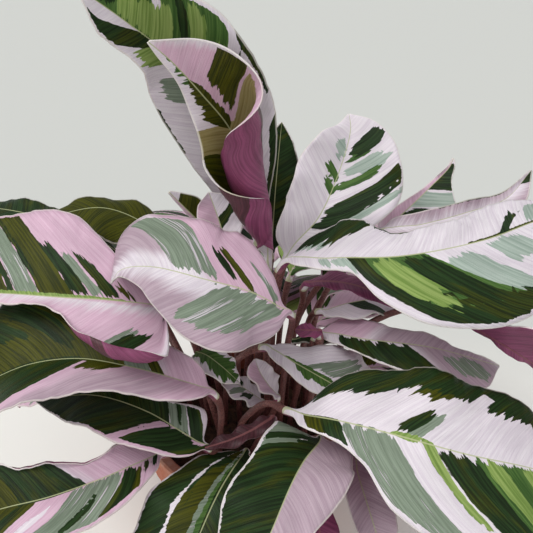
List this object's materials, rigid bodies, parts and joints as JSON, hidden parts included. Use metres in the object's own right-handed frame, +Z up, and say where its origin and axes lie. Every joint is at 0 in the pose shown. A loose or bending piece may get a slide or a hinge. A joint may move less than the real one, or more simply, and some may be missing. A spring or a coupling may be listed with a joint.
{
  "type": "potted variegated prayer plant",
  "caption": "Potted prayer plant with broad arching leaves splashed in white, pink and green over purple undersides, one leaf still rolled, in a plain rimmed clay pot.",
  "frame": {"origin": "centre of the pot's underside, where it stands", "axes": "+Z up, out of the pot; the plant's front, as pictured, faces -Y and +X is to its right in that view"},
  "size_m": [0.4111, 0.3214, 0.3927],
  "materials": {
    "clay": "matte",
    "earth": "matte",
    "leaf_pale": "satin",
    "leaf_green": "satin",
    "leaf_purple": "satin"
  },
  "bodies": {
    "root": {"leaf_back_lilac": "leaf_pale", "leaf_back_right": "leaf_pale", "leaf_back_slim": "leaf_green", "leaf_back_white": "leaf_pale", "leaf_bud": "leaf_pale", "leaf_centre_back": "leaf_pale", "leaf_centre_pink": "leaf_pale", "leaf_front_centre": "leaf_green", "leaf_front_curled": "leaf_purple", "leaf_front_dark": "leaf_purple", "leaf_front_left": "leaf_pale", "leaf_front_olive": "leaf_green", "leaf_front_right_large": "leaf_pale", "leaf_front_shaded": "leaf_purple", "leaf_left_far": "leaf_green", "leaf_left_lower": "leaf_green", "leaf_left_middle": "leaf_pale", "leaf_left_olive": "leaf_green", "leaf_left_upper": "leaf_pale", "leaf_low_1": "leaf_green", "leaf_low_2": "leaf_green", "leaf_low_3": "leaf_green", "leaf_low_4": "leaf_green", "leaf_low_5": "leaf_green", "leaf_low_6": "leaf_green", "leaf_low_7": "leaf_green", "leaf_rear_1": "leaf_green", "leaf_rear_2": "leaf_green", "leaf_rear_3": "leaf_green", "leaf_rear_4": "leaf_green", "leaf_rear_5": "leaf_green", "leaf_rear_6": "leaf_green", "leaf_right_dark": "leaf_green", "leaf_right_edge": "leaf_purple", "leaf_right_large": "leaf_pale", "leaf_right_low": "leaf_pale", "leaf_right_middle": "leaf_pale", "leaf_right_slip": "leaf_purple", "leaf_right_small": "leaf_pale", "leaf_right_under": "leaf_purple", "leaf_top_rolled": "leaf_pale", "leaf_top_tall": "leaf_pale", "leaf_young_cream": "leaf_pale", "leaf_young_green": "leaf_pale", "leaf_young_lilac": "leaf_pale", "pot": "clay", "soil": "earth"}
  },
  "joints": []
}
